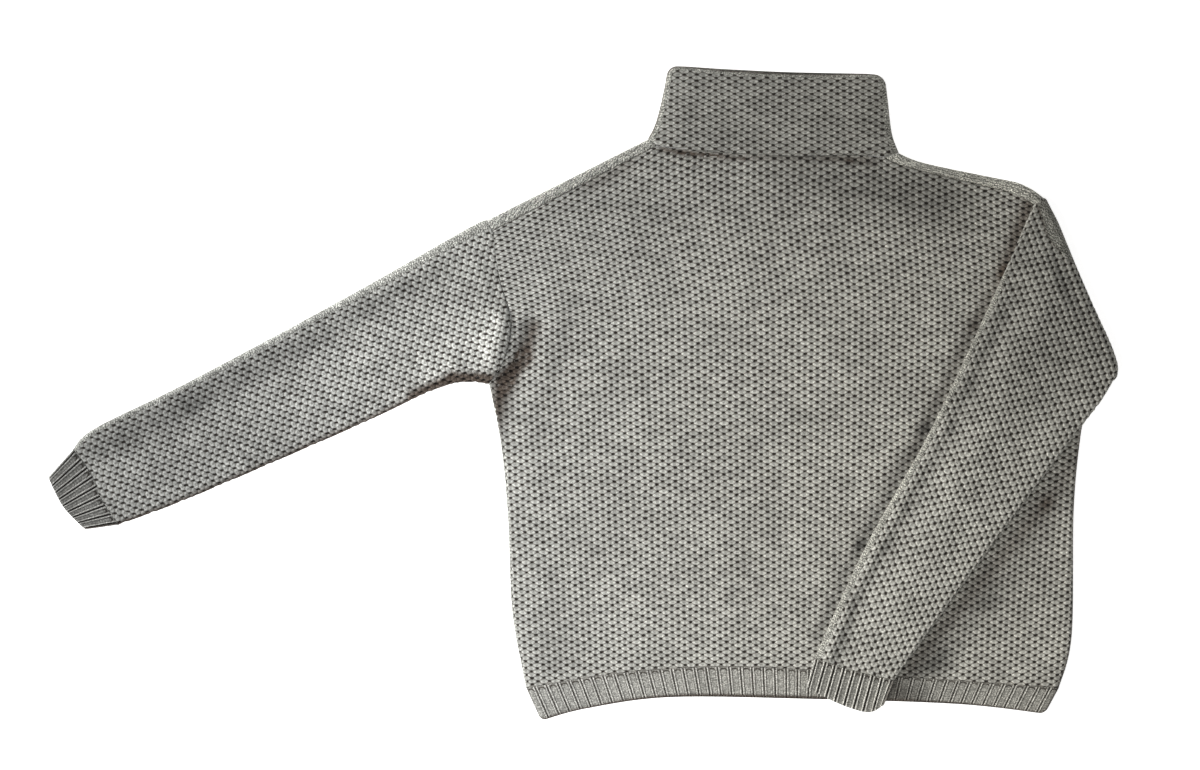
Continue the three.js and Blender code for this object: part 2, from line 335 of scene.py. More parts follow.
def bodyStitches(flat):
    s = bodyStitch
    x = flat[:, 0]
    y = flat[:, 1]
    upper = np.clip((y - 100) / 140, 0, 1.4)
    bend = np.where(x < 0, s["rightBend"], s["leftBend"]) * upper * (x / 250) ** 2
    lean = smoothStep(y, 110, 240) * (s["shear"] + s["shearRight"] * smoothStep(-x, -150, 150))
    column = s["column"] + s["widen"] * np.clip(y, -290, 290)
    level = y + bend
    rows = np.log(1 + s["grow"] * level / s["row"]) / s["grow"]
    return wander(np.stack([(x + 10 + lean) / column, rows], axis=1))


def straightStitches(flat, start, towards, column, row):
    # columns that run along a direction
    along = np.array(towards, float)
    along /= np.linalg.norm(along)
    offset = flat - np.array(start, float)
    far = offset @ along
    side = offset @ np.array([along[1], -along[0]])
    return wander(np.stack([side / column, -far / row], axis=1))


# materials


def newMaterial(name):
    material = bpy.data.materials.new(name)
    material.use_nodes = True
    tree = material.node_tree
    tree.nodes.clear()
    return material, tree


def wire(sockets, values):
    # links what comes from a node, sets colours and numbers
    for socket, value in zip(sockets, values):
        if isinstance(value, bpy.types.NodeSocket):
            socket.id_data.links.new(value, socket)
        else:
            socket.default_value = (*value, 1) if isinstance(value, tuple) else value


def fill(node, values):
    wire([node.inputs[name] for name in values], values.values())


def newNode(kind, *values):
    # in the tree that the values come from
    tree = next(value.id_data for value in values if isinstance(value, bpy.types.NodeSocket))
    return tree.nodes.new(kind)


def calc(operation, *values):
    # one sum of the pattern
    node = newNode("ShaderNodeMath", *values)
    node.operation = operation
    wire(node.inputs, values)
    return node.outputs[0]


def plus(total, *others):
    for other in others:
        total = calc("ADD", total, other)
    return total


def times(total, *others):
    for other in others:
        total = calc("MULTIPLY", total, other)
    return total


def minus(value, other):
    return calc("SUBTRACT", value, other)


def positive(value):
    return calc("ABSOLUTE", value)


def toWhole(value):
    # how far the nearest whole number is
    return positive(minus(value, calc("ROUND", value)))


def stray(value, amount):
    # a chance or a noise made to swing to both sides
    return times(minus(value, 0.5), amount)


def ramp(value, start, end, low=0.0, high=1.0):
    # an eased step from low to high
    node = newNode("ShaderNodeMapRange", value)
    node.interpolation_type = "SMOOTHSTEP"
    wire(node.inputs, (value, start, end, low, high))
    return node.outputs["Result"]


def mixColour(factor, first, second, blend="MIX"):
    # the factor and both colours are links or plain values
    node = newNode("ShaderNodeMix", factor, first, second)
    node.data_type = "RGBA"
    node.blend_type = blend
    wire((node.inputs[0], node.inputs[6], node.inputs[7]), (factor, first, second))
    return node.outputs[2]


def tinted(colour, tint):
    return mixColour(1.0, colour, tint, "MULTIPLY")


def grey(value):
    node = newNode("ShaderNodeCombineColor", value)
    wire(node.inputs, (value, value, value))
    return node.outputs[0]


def axes(vector):
    node = newNode("ShaderNodeSeparateXYZ", vector)
    wire(node.inputs, (vector,))
    return list(node.outputs)


def noise(place, scale, detail=2.0, roughness=0.5):
    node = newNode("ShaderNodeTexNoise", place)
    fill(node, {"Vector": place, "Scale": scale, "Detail": detail, "Roughness": roughness})
    return node.outputs["Fac"]


def readStitches(tree):
    uvMap = tree.nodes.new("ShaderNodeUVMap")
    uvMap.uv_map = "stitches"
    return axes(uvMap.outputs[0])[:2]


def readPlace(tree):
    return tree.nodes.new("ShaderNodeTexCoord").outputs["Object"]


def readMark(tree, name):
    node = tree.nodes.new("ShaderNodeAttribute")
    node.attribute_name = name
    return node.outputs["Fac"]


def finishMaterial(tree, surface):
    shader = tree.nodes.new("ShaderNodeBsdfPrincipled")
    fill(shader, surface)
    fill(tree.nodes.new("ShaderNodeOutputMaterial"), {"Surface": shader.outputs[0]})


def woolShader(tree, colour, height, finish):
    # painted light and shade, from the tone attribute
    colour = tinted(colour, grey(readMark(tree, "tone")))
    # painted light: a touch cooler towards the straight sleeve, warmer towards the folded one
    towardsFold = ramp(axes(readPlace(tree))[0], *wool["warmFrom"])
    colour = tinted(colour, mixColour(towardsFold, wool["cool"], wool["warm"]))
    # painted brown shade, from the shaded attribute
    rim = times(readMark(tree, "shaded"), wool["rimShare"])
    colour = mixColour(rim, colour, tinted(colour, wool["rim"]))
    bump = tree.nodes.new("ShaderNodeBump")
    fill(bump, {"Strength": finish["bump"], "Distance": finish["bumpHeight"] * mm, "Height": height})
    surface = {
        "Base Color": colour,
        "Normal": bump.outputs[0],
        "Roughness": 0.93,
        "Specular IOR Level": 0.15,
        "Sheen Weight": finish["sheen"],
        "Sheen Roughness": 0.6,
        "Sheen Tint": (0.8, 0.78, 0.74),
    }
    finishMaterial(tree, surface)


wool = {
    "yarn": (0.60, 0.605, 0.575),  # the bright loop, partly a painted highlight on the raised yarn
    "ground": (0.36, 0.358, 0.335),  # the greyer yarn inside a cell
    "gap": (0.15, 0.118, 0.092),  # the thin gaps between cells, darkened by painted shade
    # the holes, dark with painted shade
    "hole": (0.034, 0.028, 0.024),
    "fleck": (0.95, 0.95, 0.9),
    "plain": (0.40, 0.40, 0.37),  # the smooth bands at the seams
    "rim": (0.13, 0.08, 0.055),  # tint of the painted brown shade on low rims and deep places
    "rimShare": 0.9,
    # the tint of painted light, cool and warm
    "cool": (0.985, 1.0, 1.025),
    "warm": (1.018, 1.0, 0.95),
    "warmFrom": (-0.5, 0.28),  # from where to where across, in metres, cool turns into warm
    "twist": 260,  # scales of the yarn's twist, its strands, its flecks and its slow changes
    "strand": 700,
    "speck": 520,
    "slow": 16,
    "bump": 0.8,
    "bumpHeight": 1.3,
    "sheen": 0.08,
}


# the holes in shares of a column and of half a row, how far they slant, how dark the gaps between
# cells are, how bright a loop's middle is, and a smooth band's small loops to a column and a row
bodyCell = {
    "holeWide": 0.33,
    "holeTall": 0.42,
    "slant": 0,
    "gap": 0.75,
    "middle": 0.45,
    "fine": (1.5, 2.2),
}
sleeveCell = {
    "holeWide": 0.28,
    "holeTall": 0.56,
    "slant": 0.22,
    "gap": 0.5,
    "middle": 0.8,
    "fine": (1.2, 3.1),
}
foldedCell = {
    "holeWide": 0.34,
    "holeTall": 0.44,
    "slant": 0,
    "gap": 0.55,
    "middle": 0.7,
    "fine": (1.2, 3.1),
}


def makeKnit(name, shape):
    material, tree = newMaterial(name)
    place = readPlace(tree)
    u, v = readStitches(tree)
    knitted = ramp(readMark(tree, "mark"), 0.6, 0.3)  # not in a smooth band

    def lattice(shift):
        # where in its cell a place is, and a number of the cell's own
        first = minus(plus(times(u, 0.5), v), shift)
        second = minus(minus(times(u, 0.5), v), shift)
        firstCell = calc("ROUND", first)
        secondCell = calc("ROUND", second)
        firstPart = minus(first, firstCell)
        secondPart = minus(second, secondCell)
        cell = newNode("ShaderNodeCombineXYZ", firstCell)
        wire(cell.inputs, (firstCell, secondCell))
        chance = newNode("ShaderNodeTexWhiteNoise", firstCell)
        chance.noise_dimensions = "3D"
        fill(chance, {"Vector": cell.outputs[0]})
        return plus(firstPart, secondPart), minus(firstPart, secondPart), chance.outputs["Value"]

    across, up, own = lattice(0.5)  # the cells
    holeAcross, holeUp, holeOwn = lattice(0.0)  # the holes between them

    # the bright loop along the cell's low edge, its arms rising to each side, partly a painted highlight
    toSide = positive(across)
    bowed = minus(up, times(across, across, 1.5))
    loop = ramp(positive(plus(bowed, 0.5)), 0.42, 0.1)
    loop = times(loop, ramp(toSide, 0.05, 0.45, shape["middle"], 0.9))
    arms = ramp(positive(minus(toSide, 0.5)), 0.4, 0.1)
    arms = times(arms, ramp(positive(plus(up, 0.08)), 0.55, 0.15))
    loop = calc("MAXIMUM", loop, arms)

    # the plies of the yarn, bowed like the loop
    twist = noise(place, wool["twist"], 1, 0.5)
    plies = calc("SINE", plus(times(bowed, 13), times(twist, 9)))

    # the hole between the cells, wider above than below, dark with painted shade
    ragged = noise(place, wool["strand"], 2, 0.6)
    wide = positive(plus(holeAcross, times(holeUp, shape["slant"])))
    wide = times(calc("DIVIDE", wide, shape["holeWide"]), minus(1, times(holeUp, 0.5)))
    tall = calc("DIVIDE", holeUp, shape["holeTall"])
    hollow = calc("SQRT", plus(times(wide, wide), times(tall, tall)))
    hollow = plus(hollow, stray(ragged, 0.9), stray(holeOwn, 0.25))
    hole = times(ramp(hollow, 1.25, 0.55), knitted)
    # painted shade in the thin gaps between cells
    fromMiddle = plus(toSide, positive(up), stray(ragged, 0.3))
    gap = times(ramp(fromMiddle, 0.80, 0.98), times(knitted, shape["gap"]))

    # strands of the yarn, flecks and slow changes of shade
    strand = noise(place, wool["strand"], 3, 0.7)
    speck = ramp(noise(place, wool["speck"], 1, 0.5), 0.60, 0.72)
    slow = ramp(noise(place, wool["slow"], 2, 0.5), 0.3, 0.7, 0.93, 1.06)
    shade = times(ramp(own, 0, 1, 0.88, 1.12), slow, ramp(strand, 0.2, 0.8, 0.6, 1.36))
    shade = times(shade, plus(1, times(plies, knitted, 0.16)))

    # the smooth bands' own small loops, two legs to each
    drift = stray(noise(place, wool["twist"], 2, 0.6), 2.4)
    fine = toWhole(plus(times(u, shape["fine"][0]), drift))
    fineRow = toWhole(plus(times(v, shape["fine"][1]), plus(fine, drift)))
    leg = ramp(positive(minus(fine, 0.25)), 0.26, 0.08)
    knot = times(leg, ramp(fineRow, 0.5, 0.18))
    fineShade = plus(0.24, times(knot, 1.35), times(speck, knot, 0.9))

    colour = mixColour(loop, wool["ground"], wool["yarn"])
    colour = mixColour(times(speck, loop, 0.6), colour, wool["fleck"])
    colour = mixColour(gap, colour, wool["gap"])
    colour = mixColour(knitted, tinted(wool["plain"], grey(fineShade)), colour)
    colour = mixColour(hole, colour, wool["hole"])
    colour = tinted(colour, grey(shade))

    height = plus(times(loop, 0.35), times(plies, 0.1))
    height = times(minus(height, times(gap, 0.45)), knitted)
    height = plus(height, times(minus(1, knitted), times(knot, 0.7)), times(strand, 0.5))
    height = minus(height, times(hole, 0.8))
    woolShader(tree, colour, height, wool)
    return material


rib = {
    "yarn": (0.43, 0.427, 0.40),
    "line": (0.66, 0.655, 0.62),  # the light cord beside each groove
    # the grooves and the arches below the join, dark with painted shade
    "groove": (0.07, 0.06, 0.05),
    "wobble": 500,  # scales of the grooves' wobble, the small stitches and the slow changes
    "knots": 600,
    "slow": 20,
    "bump": 0.8,
    "bumpHeight": 1.1,
    "sheen": 0.08,
}


def makeRib():
    material, tree = newMaterial("ribKnit")
    u, v = readStitches(tree)
    place = readPlace(tree)
    away = plus(toWhole(u), stray(noise(place, rib["wobble"], 2, 0.6), 0.07))
    groove = ramp(away, 0.065, 0.025)
    line = ramp(positive(minus(away, 0.14)), 0.09, 0.035)
    foot = times(ramp(positive(minus(away, 0.25)), 0.05, 0.01), 0.6)
    # painted shadow: each column closes in a small dark arch below the join
    toMiddle = minus(0.5, away)
    bow = plus(2.2, times(toMiddle, toMiddle, 26))
    arch = ramp(positive(minus(readMark(tree, "mark"), bow)), 1.5, 0.6)
    arch = times(arch, ramp(toMiddle, 0.36, 0.28))
    # small stitches in leaning rows
    lean = times(positive(calc("SINE", times(u, math.pi))), 0.8)
    rows = calc("COSINE", times(plus(times(v, 3), lean), 2 * math.pi))
    knots = newNode("ShaderNodeTexVoronoi", place)
    fill(knots, {"Vector": place, "Scale": rib["knots"]})
    knot = ramp(knots.outputs["Distance"], 0.15, 0.7, 1, 0)
    strand = noise(place, wool["strand"], 3, 0.7)
    slow = ramp(noise(place, rib["slow"], 2, 0.5), 0.3, 0.7, 0.92, 1.08)
    shade = times(slow, ramp(strand, 0.2, 0.8, 0.68, 1.3))
    shade = times(shade, plus(0.62, times(knot, 0.75)), ramp(rows, -1, 0.6, 0.85, 1.08))

    colour = mixColour(line, rib["yarn"], rib["line"])
    # painted shade in the grooves, at the columns' feet and in the arches
    dark = calc("MAXIMUM", calc("MAXIMUM", groove, foot), times(arch, 0.9))
    colour = mixColour(dark, colour, rib["groove"])
    colour = tinted(colour, grey(shade))
    height = plus(times(rows, 0.12), times(strand, 0.4), times(knot, 0.4), times(line, 0.4))
    height = minus(height, times(dark, 0.7))
    woolShader(tree, colour, height, rib)
    return material


honeycombKnit = makeKnit("honeycombKnit", bodyCell)
sleeveKnit = makeKnit("sleeveKnit", sleeveCell)
foldedKnit = makeKnit("foldedKnit", foldedCell)
ribKnit = makeRib()
print("materials made")


# outlines, the same as the cut pieces

rightTip, rightTipSeam = (-303, 210), (-297, 199)
rightNeck, rightNeckSeam = (-142, 291), (-133, 284)
leftNeck, leftNeckSeam = (109, 277), (94, 273)
leftTip, leftTipSeam = (243, 245), (240, 233)
rightArmpit, leftArmpit = (-301, 46), (297, 18)
rightCorner, leftCorner = (-264, -258), (269, -258)

hemJoin = through(rightCorner, (-158, -242), (-42, -237), (111, -247), leftCorner)
hemEdge = through((-249, -291), (-203, -278), (-120, -266), (13, -267), (165, -273), (255, -284))
rightSide = through(rightCorner, (-278, -180), (-282, -90), (-289, -15), rightArmpit)
leftSide = through(leftCorner, (282, -205), (284, -80), (291, -5), leftArmpit)
rightArmhole = through(rightArmpit, (-286, 70), (-279, 108), (-291, 155), rightTipSeam)
leftArmhole = through(leftArmpit, (286, 60), (282, 105), (266, 165), leftTipSeam)
rightSeam = through(rightTipSeam, rightNeckSeam)
leftSeam = through(leftNeckSeam, (121, 262), leftTipSeam)
rightFold = through(rightTip, rightNeck)
leftFold = through(leftNeck, (140, 266), leftTip)
frontNeck = through(rightNeckSeam, (-73, 278), (4, 274), (60, 275), leftNeckSeam)
backNeck = through(rightNeckSeam, (-73, 289), (-15, 290), (50, 286), leftNeckSeam)

body = {
    "across": 324,  # faces across and up
    "up": 288,
    "armpit": 0.66,  # share of the side that is below the armpit
    "neckStart": 1 / 3,  # shares of the top edge where the neck starts and ends
    "neckEnd": 13 / 18,
    "turn": 12,  # rows of faces that take the back over a shoulder
    "wide": 560,
    "high": 530,
    "backDeep": 1.2,  # depth of the stitch on the back
    # the left shoulder's band caps the start of the folded sleeve: from which share of it, how far the
    # cloth below, its fold and its seam move, how much it rises, and how far its very end turns down and in
    "capFrom": 0.86,
    "tuck": (-1, -5),
    "capFold": (14.5, -13.5),
    "capSeam": (9, -11),
    "capRise": 0.78,
    "lastFrom": 0.94,
    "lastDrop": 1.7,
    "lastMove": (2.6, 0.4),
}
rightEdge = chain((rightSide, body["armpit"]), (rightArmhole, 1))
leftEdge = chain((leftSide, body["armpit"]), (leftArmhole, 1))


def bodySides(v):
    # rolled below the armpit, sewn above it
    blend = smoothStep(v, body["armpit"] - 0.02, body["armpit"] + 0.01)
    edge = tuple(a + (b - a) * blend for a, b in zip(rolled, sewn))
    return edge, edge


def sideInset(v):
    # how far the inside is set in at the body's sides
    return cloth["wall"] * (1 - smoothStep(v, body["armpit"] - 0.02, body["armpit"])) + cloth["endInset"]


front = {
    "puff": 1.6,  # how far its middle stands above its edges
    "puffReach": 30,  # and how far in from an edge it gets there
    "least": 0.15,  # no fold brings it nearer to the middle level
    "deep": 2.3,  # depth of the stitch
    "upperShade": 0.16,  # painted shade: how much darker it gets between two heights
    "shadedFrom": (120, 250),
    "folds": [
        ((-230, 124), (-250, 44), 15, 3.5),  # the cloth pushed up beside the armpit tuck
        ((-260, 26), (-264, -60), 20, 2.5),
        ((-272, 104), (-282, 70), 7, 3.5),  # carries the sleeve's swelling on
        ((-257, 108), (-268, 70), 9, -3.6),  # the tuck
        ((-268, 70), (-284, 48), 9, -3.6),
        ((-284, 48), (-292, 10), 12, -2.2),
        ((246, 238), (250, 226), 15, 2.5),  # rises to the folded sleeve
        ((-225, 235), (-120, 150), 30, -0.9),
        ((-128, 270), (-55, 268), 8, -1.8),  # puckers below the neck seam
        ((-130, 279), (-100, 272), 2.6, -2.2),
        ((-108, 277), (-74, 271), 2.4, -2.0),
        ((-84, 274), (-50, 269), 2.4, -1.6),
        ((-118, 268), (-90, 262), 2.6, -1.2),
        ((-150, 262), (-104, 262), 9, 1.4),
        ((190, 210), (110, 120), 34, -0.8),
        ((-60, 210), (40, -40), 60, 0.7),
        ((-190, -60), (-120, -200), 38, -0.8),
        ((60, -120), (20, -215), 40, 0.8),
    ],
    "tones": [  # painted light and shade, broad darker and lighter places: from, to, reach, how much
        ((30, 262), (140, 236), 38, -0.24),
        ((90, 240), (150, 226), 22, -0.1),
        ((-284, 30), (-292, -14), 11, -0.3),
        ((-110, 262), (-60, 258), 20, 0.06),
        ((-246, -140), (-236, -235), 18, -0.15),
        ((-190, 236), (-110, 214), 18, -0.08),
        ((-20, 290), (-20, 240), 30, -0.06),
        ((278, -90), (262, -220), 15, 0.12),
        ((196, 130), (136, 2), 8, -0.3),  # painted shadow beside the folded sleeve
        ((136, 2), (70, -115), 8, -0.4),
        ((70, -115), (26, -208), 7, -0.32),
        ((140, 10), (20, -225), 20, -0.06),
        ((270, -70), (196, -170), 17, -0.26),
        ((196, -170), (140, -228), 17, -0.28),
        ((150, -232), (112, -256), 14, -0.45),
    ],
    "shades": [  # deep places with painted brown shade
        ((-256, 104), (-266, 72), 7, 0.85),
        ((-266, 72), (-284, 48), 8, 1.05),
        ((-286, 48), (-297, 8), 10, 0.95),
        ((-128, 281), (-98, 275), 2.4, 0.7),
        ((-108, 278), (-74, 273), 2.4, 0.7),
        ((-84, 275), (-46, 271), 2.4, 0.65),
        ((-118, 268), (-90, 262), 2.6, 0.2),
        ((-126, 281), (-60, 275), 7, 0.2),
        ((-46, 272), (84, 272), 3, 0.45),
        ((34, 271), (62, 268), 2.6, 0.35),
        ((58, 269), (86, 266), 3, 0.5),
        ((-160, 268), (-200, 246), 9, 0.35),
        ((239, 227), (214, 158), 9, 0.8),  # painted shadow beside the folded sleeve
        ((214, 158), (184, 104), 7, 0.45),
        ((184, 104), (120, -30), 6, 0.3),
        ((318, 14), (256, -74), 9, 0.4),  # painted shadow below the folded sleeve
        ((256, -74), (120, -238), 9, 0.5),
    ],
}


def makeFront():
    top = chain((rightSeam, body["neckStart"]), (frontNeck, body["neckEnd"]), (leftSeam, 1))
    outline = patch(hemJoin, top, rightEdge, leftEdge)
    bm, u, v, outside = openSheet(body["across"], body["up"])
    spots, rise, flat, edge = layCloth(outline, u, v, outside, bodySides(v), (sewn, sewn), sideInset(v))
    tall = halfHeight(outside, np.maximum(rise, cloth["leastRise"]))
    tall = shapeUpper(tall, front, spots, outside, rise, edge)
    base = np.column_stack([spots, cloth["roll"] + np.maximum(tall, front["least"])])
    stitches = bodyStitches(flat)
    # the relief ends at the seams
    toSeam = np.minimum(1 - v, v) * body["high"]
    toArmhole = np.where(v > body["armpit"], np.minimum(u, 1 - u) * body["wide"], np.inf)
    height = honeycombRelief(stitches, front["deep"]) * smoothStep(np.minimum(toSeam, toArmhole), 0, 4)
    # painted shade darkens the upper body; painted light and shade in broad places, painted brown shade in
    # deep ones
    tone = 0.98 - front["upperShade"] * smoothStep(spots[:, 1], *front["shadedFrom"])
    tone += lift(front["tones"], spots)
    shade = np.minimum(lift(front["shades"], spots), 1)
    smooth = np.zeros(len(u))
    return finishPiece("frontCloth", bm, base, outside, stitches, height, smooth, honeycombKnit, tone, shade)


def makeBack():
    turnShare = body["up"] / (body["up"] + body["turn"])

    def missing(u, v):
        return v > turnShare and body["neckStart"] < u < body["neckEnd"]

    bm, u, v, outside = openSheet(body["across"], body["up"] + body["turn"], missing)

    def squareFrom(share, start):
        return np.clip((np.asarray(share, float) - start) / (1 - start), 0, 1) ** 2

    def besideFold(fold, seam, share):
        # a roll's radius in from the fold of a shoulder, towards its forward seam
        away = seam(share) - fold(share)
        return fold(share) + away / np.linalg.norm(away, axis=-1, keepdims=True) * cloth["roll"]

    def rightFlat(share):
        return besideFold(rightFold, rightSeam, share)

    def leftFlat(share):
        tucked = squareFrom(share, body["capFrom"])[..., None] * body["tuck"]
        return besideFold(leftFold, leftSeam, share) + tucked

    top = chain((rightFlat, body["neckStart"]), (backNeck, body["neckEnd"]), (leftFlat, 1))
    outline = patch(hemJoin, top, rightEdge, leftEdge)
    lower = np.minimum(v / turnShare, 1)
    ends = (sewn, flatEnd)
    spots, rise, flat, edge = layCloth(outline, u, lower, outside, bodySides(lower), ends, sideInset(lower))
    tall = halfHeight(outside, np.maximum(rise, cloth["leastRise"]))
    base = np.column_stack([spots, cloth["roll"] - tall])
    stitches = bodyStitches(flat * (-1, 1))
    height = (honeycombRelief(stitches, body["backDeep"], 0) - 0.1) * smoothStep(edge, 0, 4)
    # over the shoulders: round the fold, then flat to the seam
    turn = np.clip((v - turnShare) / (1 - turnShare), 0, 1)
    onRight = u < body["neckStart"] + 1e-6
    share = np.where(onRight, u / body["neckStart"], (u - body["neckEnd"]) / (1 - body["neckEnd"]))
    share = np.clip(share, 0, 1)
    cap = np.where(onRight, 0, squareFrom(share, body["capFrom"]))
    fold = np.where(onRight[:, None], rightFold(share), leftFold(share)) + cap[:, None] * body["capFold"]
    seam = np.where(onRight[:, None], rightSeam(share), leftSeam(share)) + cap[:, None] * body["capSeam"]
    away = seam - fold
    width = np.linalg.norm(away, axis=1) - cloth["seamGap"]
    away /= np.linalg.norm(away, axis=1)[:, None]
    radius = np.where(outside, cloth["roll"], cloth["innerGap"])
    start = np.where(outside, 0, cloth["wall"])
    arc = math.pi * radius
    run = turn * (arc + width - start - radius)
    angle = np.clip(run / radius, 0, math.pi) - math.pi / 2
    distance = start + radius * (1 - np.cos(angle)) + np.maximum(run - arc, 0)
    sink = smoothStep(distance, width - 3.4, width) * np.where(outside, 1.2, 0)
    level = cloth["roll"] + radius * np.sin(angle) - sink
    level *= 1 + body["capRise"] * np.sqrt(cap)
    last = np.where(onRight, 0, squareFrom(share, body["lastFrom"]))
    level -= body["lastDrop"] * last * (level > cloth["roll"])
    outer = np.clip(1 - distance / width, 0, 1)
    spread = fold + away * distance[:, None] - (last * outer)[:, None] * body["lastMove"]
    bent = v > turnShare + 1e-6
    base = np.where(bent[:, None], np.column_stack([spread, level]), base)
    plain = np.where(v > turnShare + 0.5 * (1 - turnShare) / body["turn"], 1.0, 0.0)
    height = np.where(bent, -0.2, height)
    stitches = np.where(bent[:, None], stitches + np.stack([0 * turn, turn * 3], axis=1), stitches)
    tone = 1 + plain * (0.22 - 0.4 * cap)
    return finishPiece("backCloth", bm, base, outside, stitches, height, plain, honeycombKnit, tone)


hem = {
    "across": 564,  # faces
    "up": 18,
    "high": 38,
    "ribs": 47,
    "row": 7.0,
    "deep": 1.5,
    "backDeep": 0.8,
    "backDrop": 2.0,
    "corner": 6,
    "tone": 0.9,
    "edgeShade": (2.2, 5.5),  # the free edge's painted shade: full this far up, gone that far up
    "tones": [((98, -262), (126, -262), 15, -0.3), ((126, -262), (172, -262), 14, -0.1)],  # painted shadow beside the cuff
    # painted brown shadow beside the cuff
    "shades": [((94, -252), (118, -272), 13, 0.4)],
}


def makeHem(face, name):
    inFront = face > 0
    drop = 0 if inFront else hem["backDrop"]

    def low(share):
        share = np.asarray(share, float)
        return hemEdge(share) - np.stack([0 * share, drop * np.sin(math.pi * share)], axis=-1)

    join = moved(hemJoin, 0, -cloth["seamGap"])
    outline = patch(low, join, through(low(0), join(0)), through(low(1), join(1)))
    bm, u, v, outside = openSheet(hem["across"], hem["up"])
    ends = (cutEnd, sewn)
    corner = (0, hem["corner"])
    spots, rise, flat, edge = layCloth(outline, u, v, outside, (rolled, rolled), ends, cloth["wall"], corner)
    tall = halfHeight(outside, np.maximum(rise, cloth["leastRise"]))
    base = np.column_stack([spots, cloth["roll"] + face * tall])
    stitches = np.stack([u * hem["ribs"], flat[:, 1] / hem["row"]], axis=1)
    height = ribRelief(stitches, hem["deep"] if inFront else hem["backDeep"]) * smoothStep(edge, 0, 2.5)
    fromJoin = (1 - v) * hem["high"]
    # painted shadow beside the cuff, and painted shade along the free edge
    tone = hem["tone"] + lift(hem["tones"], spots) * inFront
    shade = 0.95 * (1 - smoothStep(v * hem["high"], *hem["edgeShade"]))
    shade = np.minimum(shade + lift(hem["shades"], spots) * inFront, 1)
    return finishPiece(name, bm, base, outside, stitches, height, fromJoin, ribKnit, tone, shade)


def makeBackHem():
    return makeHem(-1, "backHemRib")


def makeFrontHem():
    return makeHem(1, "frontHemRib")


rightSleeve = {
    "around": 168,  # faces
    "along": 252,
    "long": 450,
    "girth": 151.2,  # half its way round at the armhole
    "column": 4.85,
    "row": 8.5,
    "relief": (1.7, 0.3, 1.4),  # depth of the stitch, tilt of its cells, and how narrow they are
    "puff": 2.6,
    "puffReach": 22,
    "lowRim": 15,  # how much of the lower edge gets painted brown shade
    "sideOn": (8, 13),  # how much of the upper edge shows no holes, as it is seen from its side
    "folds": [
        ((-325, 184), (-620, 32), 9, 2.6),  # along the upper edge
        ((-640, -30), (-690, -76), 10, 2.2),  # bulges over the cuff
        ((-664, 8), (-690, -20), 9, 1.6),
        ((-330, 166), (-610, 19), 11, -2.4),
        ((-340, 92), (-640, -52), 26, 4),
        ((-288, 104), (-296, 68), 14, 9.5),  # swells over the armpit tuck
        ((-312, 90), (-345, 64), 17, 4),
        ((-336, 63), (-304, 59), 5, 2),  # the sharp line above the lower edge
        ((-340, 50), (-304, 50), 6, -4),
        ((-372, 90), (-470, 50), 20, -1.6),
    ],
    "tones": [
        # painted light and shade along the trough, on the swelling over the armpit and near the cuff
        ((-345, 158), (-600, 22), 10, -0.18),
        ((-372, 140), (-460, 96), 24, -0.08),
        ((-318, 90), (-350, 66), 22, 0.32),
        ((-298, 112), (-300, 78), 11, 0.26),
        ((-600, 22), (-705, -25), 15, -0.16),
        ((-560, -34), (-640, -72), 16, 0.06),
        ((-440, 60), (-520, 20), 22, 0.05),
    ],
    "shades": [
        # painted brown shade below the sharp line over the armpit
        ((-380, 36), (-338, 54), 4, 0.8),
        ((-336, 53), (-300, 50), 5, 1.0),
    ],
}
rightJoin = through((-717, -19), (-699, -43), (-690, -66), (-672, -95))
rightCuffEnd = through((-742, -48), (-727, -77), (-706, -99))


def makeRightSleeve():
    s = rightSleeve
    start = through(rightTip, rightTipSeam)
    armhole = moved(chain((start, 0.07), (backwards(rightArmhole), 1)), -cloth["seamGap"], 0)
    top = through(armhole(0), (-322, 202), (-440, 135), (-600, 49), (-695, 2), rightJoin(0))
    under = through(armhole(1), (-345, 44), (-440, 1), (-600, -68), rightJoin(1))
    outline = patch(armhole, rightJoin, top, under)
    bm, u, v, outside, face, atFold = openTube(s["around"], s["along"])
    sides = (rolled, rolled)
    spots, rise, flat, edge = layCloth(outline, u, v, outside, sides, (sewn, sewn), cloth["wall"])
    over = face > 0
    tall = halfHeight(outside, rise, atFold)
    tall = shapeUpper(tall, s, spots, outside, rise, edge, over, atFold)
    base = np.column_stack([spots, cloth["roll"] + face * tall])
    stitches = straightStitches(flat, (-303, 130), (-0.873, -0.488), s["column"], s["row"])
    plain = 1 - smoothStep(u * s["girth"], *s["sideOn"])
    height = honeycombRelief(stitches, *s["relief"]) * np.where(over, 1, 0.6) * (1 - plain)
    height *= smoothStep(np.minimum(v, 1 - v) * s["long"], 0, 4)
    # painted brown shade along the lower edge and below the sharp line
    fromLow = (1 - u) * s["girth"]
    shade = 0.95 * smoothStep(-fromLow, -s["lowRim"] * (1.2 - 0.35 * v), -3) * over
    shade = np.minimum(shade + lift(s["shades"], spots) * over, 1)
    # painted shade darkens it towards the cuff, with painted light and shade in places; its smooth upper edge
    # is paler
    tone = 1 - 0.4 * smoothStep(-spots[:, 0], 360, 620) + lift(s["tones"], spots) + 0.3 * plain
    name = "rightSleeveCloth"
    return finishPiece(name, bm, base, outside, stitches, height, plain, sleeveKnit, tone, shade)


cuff = {
    "around": 216,  # faces
    "along": 18,
    "high": 36,
    "ribs": 9,  # on each side
    "rows": 34 / 7,
    "deep": 2.8,
    "wideGroove": 1.28,  # above 1, a column takes up less of the width and its groove more
    "corner": 3,
    "lowShade": (0.925, 0.9875),  # shares across at which its low edge's painted shade starts and is full
    "right": 0.5,  # tones of the two cuffs
    "left": 0.95,
}


def makeRightCuff():
    join = moved(rightJoin, -cloth["seamGap"], -cloth["seamGap"])
    return makeCuff("rightCuffRib", join, rightCuffEnd, cloth["roll"], cuff["right"])


